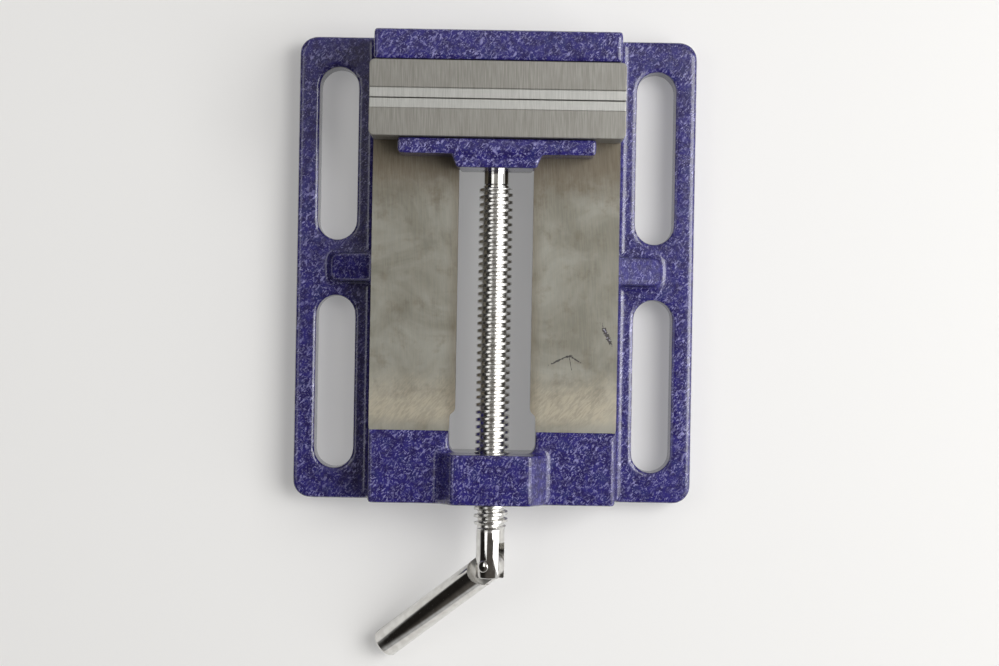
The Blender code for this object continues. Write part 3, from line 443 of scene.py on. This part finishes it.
def copy_of(node, name):
    """A new piece with a welded copy of a node's mesh, its flat faces whole."""
    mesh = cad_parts[node].data.copy()
    mesh.name = name
    mesh.materials.clear()
    work = bmesh.new()
    work.from_mesh(mesh)
    bmesh.ops.remove_doubles(work, verts=work.verts, dist=0.000002)
    bmesh.ops.dissolve_limit(
        work, angle_limit=math.radians(0.2), verts=work.verts, edges=work.edges
    )
    work.to_mesh(mesh)
    work.free()
    return show(mesh, name)


def apply_modifiers(piece):
    view = bpy.context.evaluated_depsgraph_get()
    mesh = bpy.data.meshes.new_from_object(piece.evaluated_get(view))
    mesh.name = piece.name
    piece.modifiers.clear()
    piece.data = mesh


def round_over(piece, voxel, rounds):
    """Rebuilds a piece on a fine grid and relaxes it, which rounds all its edges."""
    remesh = piece.modifiers.new("grid", "REMESH")
    remesh.mode = "VOXEL"
    remesh.voxel_size = voxel
    relax = piece.modifiers.new("relax", "SMOOTH")
    relax.factor = 0.5
    relax.iterations = rounds
    apply_modifiers(piece)


def cut_away(piece, cutter):
    cut = piece.modifiers.new("cut", "BOOLEAN")
    cut.operation = "DIFFERENCE"
    cut.solver = "EXACT"
    cut.object = cutter
    apply_modifiers(piece)
    bpy.data.objects.remove(cutter)


def box_piece(name, low, high):
    work = bmesh.new()
    bmesh.ops.create_cube(work, size=1)
    middle = (Vector(low) + Vector(high)) / 2
    size = Vector(high) - Vector(low)
    matrix = Matrix.Translation(middle) @ Matrix.Diagonal(size).to_4x4()
    bmesh.ops.transform(work, matrix=matrix, verts=work.verts)
    mesh = bpy.data.meshes.new(name)
    work.to_mesh(mesh)
    work.free()
    return show(mesh, name)


def round_body(name, rows, steps, radius_at=None):
    """A closed body about the Y axis; rows are (place, radius) from -Y to +Y.

    radius_at(places, radii, turns) may change the radii, given as whole grids."""
    places, radii = (np.array(values, float) for values in zip(*rows))
    turns = np.linspace(0, 2 * math.pi, steps, endpoint=False)
    place_grid, turn_grid = np.meshgrid(places, turns, indexing="ij")
    radius_grid = np.repeat(radii[:, None], steps, axis=1)
    if radius_at:
        radius_grid = radius_at(place_grid, radius_grid, turn_grid)
    points = np.stack(
        (radius_grid * np.sin(turn_grid), place_grid, radius_grid * np.cos(turn_grid)), axis=-1
    ).reshape(-1, 3)
    faces = []
    for row in range(len(rows) - 1):
        for step in range(steps):
            after = (step + 1) % steps
            near, far = row * steps, (row + 1) * steps
            faces.append((near + step, near + after, far + after, far + step))
    last = (len(rows) - 1) * steps
    faces.append(tuple(reversed(range(steps))))
    faces.append(tuple(last + step for step in range(steps)))
    mesh = bpy.data.meshes.new(name)
    mesh.from_pydata(points.tolist(), [], faces)
    work = bmesh.new()
    work.from_mesh(mesh)
    bmesh.ops.recalc_face_normals(work, faces=work.faces)
    work.to_mesh(mesh)
    work.free()
    return show(mesh, name)


def drill(low, high, radius, place, upright=False):
    """A round cutter along Y, or along Z where it is upright, whose axis is at place."""
    piece = round_body("drill", [(low, radius), (high, radius)], 40)
    turn = Matrix.Rotation(math.pi / 2 if upright else 0, 4, "X")
    piece.data.transform(Matrix.Translation(place) @ turn)
    return piece


def joined(name, pieces):
    """Pieces that don't touch each other, as one."""
    work = bmesh.new()
    for piece in pieces:
        work.from_mesh(piece.data)
        bpy.data.objects.remove(piece)
    mesh = bpy.data.meshes.new(name)
    work.to_mesh(mesh)
    work.free()
    return show(mesh, name)


def screw_drills(start):
    """Cutters for the two screws of a jaw plate."""
    drills = []
    for side in ("left", "right"):
        low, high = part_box(f"{start}_{side}")
        place = ((low.x + high.x) / 2, 0, (low.z + high.z) / 2)
        ends = (low.y - HOLE_GAP, high.y + HOLE_GAP)
        drills.append(drill(*ends, PLATE_SCREW_RADIUS + HOLE_GAP, place))
    return drills


def upright_drills(start, radius):
    """Cutters for the two pins or bolts that stand in the movable jaw."""
    drills = []
    for side in ("left", "right"):
        low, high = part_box(f"{start}_{side}")
        place = ((low.x + high.x) / 2, (low.y + high.y) / 2, 0)
        ends = (JAW_LOW.z - STEP_CLEARING, high.z + HOLE_GAP)
        drills.append(drill(*ends, radius + HOLE_GAP, place, upright=True))
    return drills


def shade(piece, angle, *materials):
    """Smooth shading, but for edges that turn by more than angle degrees."""
    piece.data.shade_smooth()
    piece.data.set_sharp_from_angle(angle=math.radians(angle))
    for material in materials:
        piece.data.materials.append(material)


def roughen(piece, keep_level=None):
    """Sinks the cast skin by soft lumps and fine pits, but not a ground face."""
    mesh = piece.data
    sink = {}
    for corner in mesh.vertices:
        if keep_level is not None and abs(corner.co.z - keep_level) < LEVEL_TOLERANCE:
            continue
        lump = 0.5 + 0.5 * noise.noise(corner.co / LUMP_SIZE)
        pit = 0.5 + 0.5 * noise.noise(corner.co / PIT_SIZE)
        sink[corner.index] = LUMP_DEPTH * lump + PIT_DEPTH * pit
    normals = {index: mesh.vertices[index].normal.copy() for index in sink}
    for index, depth in sink.items():
        mesh.vertices[index].co -= normals[index] * depth


def is_machined(face):
    """Whether a face is on the bed or on a rail's side, along which the jaw slides."""
    place = face.center
    if face.normal.z > 0.999 and abs(place.z - BED_HEIGHT) < LEVEL_TOLERANCE:
        return True
    in_reach = BED_FRONT < place.y < FIXED_JAW_FACE and place.z > RAIL_UNDERSIDE
    return in_reach and abs(face.normal.x) > 0.5 and abs(place.x) < RAIL_GAP_HALF


def make_base():
    """The casting, rounded as cast and painted, then ground flat on its bed."""
    piece = copy_of("base_casting", "base_cast")
    for corner in piece.data.vertices:
        on_bed = abs(corner.co.z - BED_HEIGHT) < LEVEL_TOLERANCE
        if on_bed and BED_FRONT - GRIND_OVERRUN < corner.co.y < FIXED_JAW_FACE + GRIND_OVERRUN:
            corner.co.z += GRINDING_STOCK
    round_over(piece, BASE_VOXEL, BASE_SMOOTHING)
    for corner in piece.data.vertices:
        in_strip = BED_FRONT - STEP_CLEARING < corner.co.y < BED_FRONT
        if in_strip and corner.co.z > FRONT_BLOCK_TOP:
            corner.co.z = FRONT_BLOCK_TOP
    low = (-2 * BED_HALF_WIDTH, BED_FRONT - GRIND_OVERRUN, BED_HEIGHT)
    high = (2 * BED_HALF_WIDTH, FIXED_JAW_FACE + GRIND_OVERRUN, 2 * BED_HEIGHT)
    cut_away(piece, box_piece("wheel", low, high))
    bore_ends = (BASE_LOW.y - STEP_CLEARING, BED_FRONT)
    bore = round_body("bore", [(end, BORE_RADIUS) for end in bore_ends], 48)
    bore.data.transform(Matrix.Translation((0, 0, SCREW_HEIGHT)))
    cut_away(piece, bore)
    cut_away(piece, joined("drills", screw_drills("fixed_jaw_screw")))
    roughen(piece, BED_HEIGHT)
    shade(piece, 40, paint, iron)
    for face in piece.data.polygons:
        face.material_index = 1 if is_machined(face) else 0
    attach(piece, "base")
    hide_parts("base_casting")


def make_movable_jaw():
    """The sliding jaw, rounded as cast, then cut clear of the rails and drilled."""
    piece = copy_of("movable_jaw_casting", "movable_jaw_cast")
    round_over(piece, JAW_VOXEL, JAW_SMOOTHING)
    front, back = JAW_LOW.y - STEP_CLEARING, JAW_HIGH.y + STEP_CLEARING
    for side in (-1, 1):
        across = sorted((side * TONGUE_HALF_WIDTH, side * 2 * BED_HALF_WIDTH))
        low = (across[0], front, 0)
        high = (across[1], back, BED_HEIGHT + BED_CLEARANCE)
        cut_away(piece, box_piece("rail", low, high))
    drills = screw_drills("movable_jaw_screw")
    drills += upright_drills("nose_pin", NOSE_PIN_RADIUS)
    drills += upright_drills("keeper_bolt", KEEPER_BOLT_RADIUS)
    cut_away(piece, joined("drills", drills))
    roughen(piece)
    shade(piece, 60, paint)
    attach(piece, "jaw")
    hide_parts("movable_jaw_casting")


def make_plate(node, name, body):
    """A jaw plate, whose step takes a lighter copy of its steel as a painted highlight."""
    piece = copy_of(node, name)
    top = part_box(node)[1].z
    for corner in piece.data.vertices:
        if abs(corner.co.z - (top - CUT_STEP_DEPTH)) < 0.0001:
            corner.co.z = top - STEP_DEPTH
    bevel = piece.modifiers.new("worn edges", "BEVEL")
    bevel.limit_method = "ANGLE"
    bevel.angle_limit = math.radians(30)
    bevel.width = 0.0003
    bevel.segments = 3
    apply_modifiers(piece)
    shade(piece, 35, steel, step_highlight_steel)
    piece.modifiers.new("flat faces stay flat", "WEIGHTED_NORMAL")
    apply_modifiers(piece)
    # Upward faces of the step take the lighter steel: a painted highlight
    for face in piece.data.polygons:
        on_step = face.normal.z > 0.5 and top - STEP_REACH < face.center.z < top - 0.0006
        face.material_index = 1 if on_step else 0
    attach(piece, body)
    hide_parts(node)


def thread_rise(phase):
    """How far the thread stands at a place in its pitch, from 0 at the root to 1."""
    away = np.abs(phase - 0.5)
    share = np.clip((CREST_SHARE / 2 + FLANK_SHARE - away) / FLANK_SHARE, 0, 1)
    return share * share * (3 - 2 * share)


def threaded(places, radii, turns):
    """Raises the thread on the screw's core, and lets it fade out towards the fork."""
    around = (turns - math.pi / 2) / (2 * math.pi)
    phase = ((places - BASE_MIDDLE_Y) / THREAD_PITCH - around + 0.5) % 1
    into_back = (THREAD_BACK - places) / THREAD_END
    into_front = (places - THREAD_FRONT) / THREAD_FADE
    ramp = np.clip(np.minimum(into_back, into_front), 0, 1)
    rise = (CREST_RADIUS - ROOT_RADIUS) * thread_rise(phase) * ramp
    inside = (places > THREAD_FRONT) & (places < THREAD_BACK)
    return np.where(inside, np.maximum(radii, ROOT_RADIUS + rise), radii)


def make_screw():
    """The screw in one piece: fork, shank, thread, collar and nose."""
    rows = [
        (FORK_END, SHANK_RADIUS - EDGE_CUT),
        (FORK_END + EDGE_CUT / 3, SHANK_RADIUS - EDGE_CUT / 3),
        (FORK_END + EDGE_CUT, SHANK_RADIUS),
        (THREAD_FRONT - 0.0002, SHANK_RADIUS),
        (THREAD_FRONT + 0.0006, SHANK_RADIUS - 0.0001),
    ]
    count = 1100
    first, last = THREAD_FRONT + 0.0008, THREAD_BACK - 0.0002
    for index in range(count + 1):
        place = first + (last - first) * index / count
        near_fork = max(0.0, 1 - (place - first) / THREAD_FADE)
        rows.append((place, ROOT_RADIUS + (SHANK_RADIUS - 0.0002 - ROOT_RADIUS) * near_fork))
    collar = THREAD_BACK + COLLAR_LENGTH
    pin_low, pin_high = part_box("nose_pin_left")
    pin_front, pin_back = pin_low.y - HOLE_GAP, pin_high.y + HOLE_GAP
    rows += [
        (THREAD_BACK, COLLAR_RADIUS),
        (collar, COLLAR_RADIUS),
        (collar + GROOVE_WIDTH / 2, GROOVE_RADIUS),
        (collar + GROOVE_WIDTH, NOSE_RADIUS),
        (pin_front, NOSE_RADIUS),
        (pin_front, PIN_GROOVE_RADIUS),
        (pin_back, PIN_GROOVE_RADIUS),
        (pin_back, NOSE_RADIUS),
        (SCREW_HIGH.y - 0.0008, NOSE_RADIUS),
        (SCREW_HIGH.y, NOSE_RADIUS - 0.0008),
    ]
    piece = round_body("lead_screw_turned", rows, 48, threaded)
    piece.data.transform(Matrix.Translation((0, 0, SCREW_HEIGHT)))
    half = FORK_SLOT_WIDTH / 2
    reach = 2 * SHANK_RADIUS
    low = (-reach, -reach, -half)
    high = (reach, FORK_SLOT_LENGTH - (PIVOT.y - FORK_END), half)
    slot = box_piece("slot", low, high)
    slot.data.transform(Matrix.Translation(PIVOT) @ Matrix.Rotation(-RIVET_TILT, 4, "Y"))
    cut_away(piece, slot)
    hole = drill(-reach, reach, RIVET_RADIUS + RIVET_GAP, (0, 0, 0), upright=True)
    hole.data.transform(Matrix.Translation(PIVOT) @ Matrix.Rotation(-RIVET_TILT, 4, "Y"))
    cut_away(piece, hole)
    shade(piece, 40, plating, thread_plating)
    for face in piece.data.polygons:
        face.material_index = 1 if THREAD_FRONT < face.center.y < THREAD_BACK else 0
    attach(piece, "screw")
    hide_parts("lead_screw")


def make_rivet():
    """The rivet through the fork, with a dome at both ends."""
    seat = SHANK_RADIUS + 0.0001
    half = [(seat, RIVET_RADIUS), (seat, RIVET_HEAD_RADIUS)]
    for step in range(1, 9):
        turn = math.pi / 2 * step / 9
        half.append(
            (seat + RIVET_HEAD_HEIGHT * math.sin(turn), RIVET_HEAD_RADIUS * math.cos(turn))
        )
    rows = [(-place, radius) for place, radius in reversed(half)] + half
    piece = round_body("rivet_domed", rows, 40)
    upright = Matrix.Rotation(math.pi / 2, 4, "X")
    tilt = Matrix.Rotation(-RIVET_TILT, 4, "Y")
    piece.data.transform(Matrix.Translation(PIVOT) @ tilt @ upright)
    shade(piece, 40, plating)
    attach(piece, "screw")
    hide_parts("lever_rivet")


def make_lever():
    """The lever, scooped out round the fork, whose flat tongue lies in the fork."""
    far = -LEVER_LENGTH
    cut = 0.0009
    rows = [
        (far, LEVER_RADIUS - cut),
        (far + cut * 0.12, LEVER_RADIUS - cut * 0.62),
        (far + cut * 0.38, LEVER_RADIUS - cut * 0.29),
        (far + cut, LEVER_RADIUS),
        (-SCOOP_RADIUS / 2, LEVER_RADIUS),
    ]
    piece = round_body("lever_plated", rows, 72)
    reach = 2 * LEVER_RADIUS
    scoop = round_body("scoop", [(-reach, SCOOP_RADIUS), (reach, SCOOP_RADIUS)], 72)
    scoop.data.transform(Matrix.Rotation(math.pi / 2, 4, "X"))
    cut_away(piece, scoop)
    tongue = tongue_piece(FORK_SLOT_WIDTH / 2 - 0.0003)
    join = piece.modifiers.new("join", "BOOLEAN")
    join.operation = "UNION"
    join.object = tongue
    apply_modifiers(piece)
    bpy.data.objects.remove(tongue)
    cut_away(piece, drill(-reach, reach, RIVET_RADIUS + RIVET_GAP, (0, 0, 0), upright=True))
    shade(piece, 30, plating, satin_plating)
    for face in piece.data.polygons:
        face.material_index = 1 if face.center.xy.length < SCOOP_RADIUS + 0.0001 else 0
    swing = Matrix.Rotation(-LEVER_SWING, 4, "Z")
    tilt = Matrix.Rotation(-RIVET_TILT, 4, "Y")
    piece.data.transform(Matrix.Translation(PIVOT) @ tilt @ swing)
    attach(piece, "lever")
    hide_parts("handle_lever")


def tongue_piece(half):
    """The flat tongue with a round end, softly bevelled."""
    radius = LEVER_TONGUE_RADIUS
    outline = [(-radius, -LEVER_SHOULDER - 0.002), (radius, -LEVER_SHOULDER - 0.002)]
    for step in range(25):
        turn = math.pi * step / 24
        outline.append((radius * math.cos(turn), radius * math.sin(turn)))
    work = bmesh.new()
    corners = [work.verts.new((x, y, -half)) for x, y in outline]
    face = work.faces.new(corners)
    top = bmesh.ops.extrude_face_region(work, geom=[face])
    moved = [item for item in top["geom"] if isinstance(item, bmesh.types.BMVert)]
    bmesh.ops.translate(work, verts=moved, vec=(0, 0, 2 * half))
    bmesh.ops.recalc_face_normals(work, faces=work.faces)
    mesh = bpy.data.meshes.new("tongue")
    work.to_mesh(mesh)
    work.free()
    piece = show(mesh, "tongue")
    bevel = piece.modifiers.new("soft", "BEVEL")
    bevel.width = 0.0003
    bevel.segments = 2
    apply_modifiers(piece)
    return piece


def dress_small_pieces():
    """Bolts, washers, pins and the keeper keep their shapes, with softer edges."""
    finishes = {"keeper_plate": bright, "keeper_flat_washer": bright}
    names = [
        name
        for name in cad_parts
        if name.startswith(("keeper", "nose_pin", "fixed_jaw_screw", "movable_jaw_screw"))
    ]
    for name in names:
        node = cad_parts[name]
        chosen = [metal for start, metal in finishes.items() if name.startswith(start)]
        node.data.materials.clear()
        node.data.materials.append(chosen[0] if chosen else black)
        node.data.shade_smooth()
        node.data.set_sharp_from_angle(angle=math.radians(35))


def make_stage():
    mesh = bpy.data.meshes.new("floor")
    half = FLOOR_SIZE / 2
    mesh.from_pydata(
        [(-half, -half, 0), (half, -half, 0), (half, half, 0), (-half, half, 0)], [], [(0, 1, 2, 3)]
    )
    floor = show(mesh, "floor")
    material, tree, shader = new_material("pale_floor")
    shader.inputs["Base Color"].default_value = linear(*FLOOR_COLOUR)
    shader.inputs["Roughness"].default_value = 0.8
    shader.inputs["Emission Color"].default_value = (1, 1, 1, 1)
    path = add_node(tree, "ShaderNodeLightPath").outputs
    seen = maths(tree, "MAXIMUM", path["Is Camera Ray"], path["Is Glossy Ray"])
    seen = maths(tree, "MAXIMUM", seen, path["Is Transmission Ray"])
    glow = maths(tree, "MULTIPLY", seen, FLOOR_GLOW)
    tree.links.new(glow, shader.inputs["Emission Strength"])
    mesh.materials.append(material)


def make_lamp(name, place, target, size, power):
    lamp = bpy.data.lights.new(name, "AREA")
    lamp.shape = "RECTANGLE"
    lamp.size, lamp.size_y = size
    lamp.energy = power
    holder = bpy.data.objects.new(name, lamp)
    holder.location = place
    direction = Vector(target) - Vector(place)
    holder.rotation_euler = direction.to_track_quat("-Z", "Y").to_euler()
    bpy.context.scene.collection.objects.link(holder)


def make_light():
    """The room that bright metal mirrors, and three lamps."""
    world = bpy.data.worlds.new("studio")
    world.use_nodes = True
    bpy.context.scene.world = world
    tree = world.node_tree
    background = tree.nodes["Background"]
    direction = add_node(tree, "ShaderNodeTexCoord").outputs["Generated"]
    way = add_node(tree, "ShaderNodeSeparateXYZ", {"Vector": direction}).outputs
    side = between(tree, way["X"], *ROOM_SIDES)
    walls = mixed(tree, side, linear(*LEFT_WALL_COLOUR), linear(*RIGHT_WALL_COLOUR))
    ceiling_side = between(tree, way["X"], *CEILING_SIDES)
    ceiling = mixed(tree, ceiling_side, linear(*LEFT_CEILING_COLOUR), linear(*CEILING_COLOUR))
    sideways = maths(tree, "ABSOLUTE", way["X"])
    back = between(tree, way["Y"], *BACK_CEILING_RISE)
    back = maths(tree, "MULTIPLY", back, between(tree, sideways, *BACK_CEILING_SIDES, 1.0, 0.0))
    ceiling = mixed(tree, back, ceiling, linear(*BACK_CEILING_COLOUR))
    height = maths(tree, "SUBTRACT", way["Z"], maths(tree, "MULTIPLY", way["X"], ROOM_LEAN))
    room = mixed(tree, between(tree, height, *ROOM_RISE), walls, ceiling)
    tree.links.new(room, background.inputs["Color"])
    make_lamp("key", *KEY_LAMP)
    make_lamp("window", *WINDOW_LAMP)
    make_lamp("fill", *FILL_LAMP)


def make_camera():
    data = bpy.data.cameras.new("camera")
    data.sensor_width = SENSOR_WIDTH
    data.lens = FOCAL_PIXELS / IMAGE_WIDTH * SENSOR_WIDTH
    camera = bpy.data.objects.new("camera", data)
    camera.location = (CAMERA_X, CAMERA_Y, CAMERA_HEIGHT)
    camera.rotation_euler = (0, 0, CAMERA_TURN)
    bpy.context.scene.collection.objects.link(camera)
    bpy.context.scene.camera = camera


paint = hammertone_paint()
iron = ground_iron()
steel = ground_steel("ground_steel", linear(136, 134, 128), linear(158, 156, 150))
# A lighter copy of the ground steel for the plates' steps: a painted highlight
step_highlight_steel = ground_steel("painted_step_highlight_steel", linear(176, 176, 172), linear(194, 194, 190))
plating = plated_steel("bright_plating", 0.08, 0.000004)
thread_plating = plated_steel("thread_plating", 0.24, 0.00004)
satin_plating = plated_steel("satin_plating", 0.38, 0.00004)
bright = plain_steel("plain_bright_steel", linear(172, 172, 172), 0.34)
black = plain_steel("black_oxide", linear(58, 58, 62), 0.42)

make_base()
make_movable_jaw()
make_plate("fixed_jaw_plate", "fixed_plate_ground", "base")
make_plate("movable_jaw_plate", "movable_plate_ground", "jaw")
make_screw()
make_rivet()
make_lever()
dress_small_pieces()
make_stage()
make_light()
make_camera()
bpy.context.scene.view_settings.view_transform = "Standard"
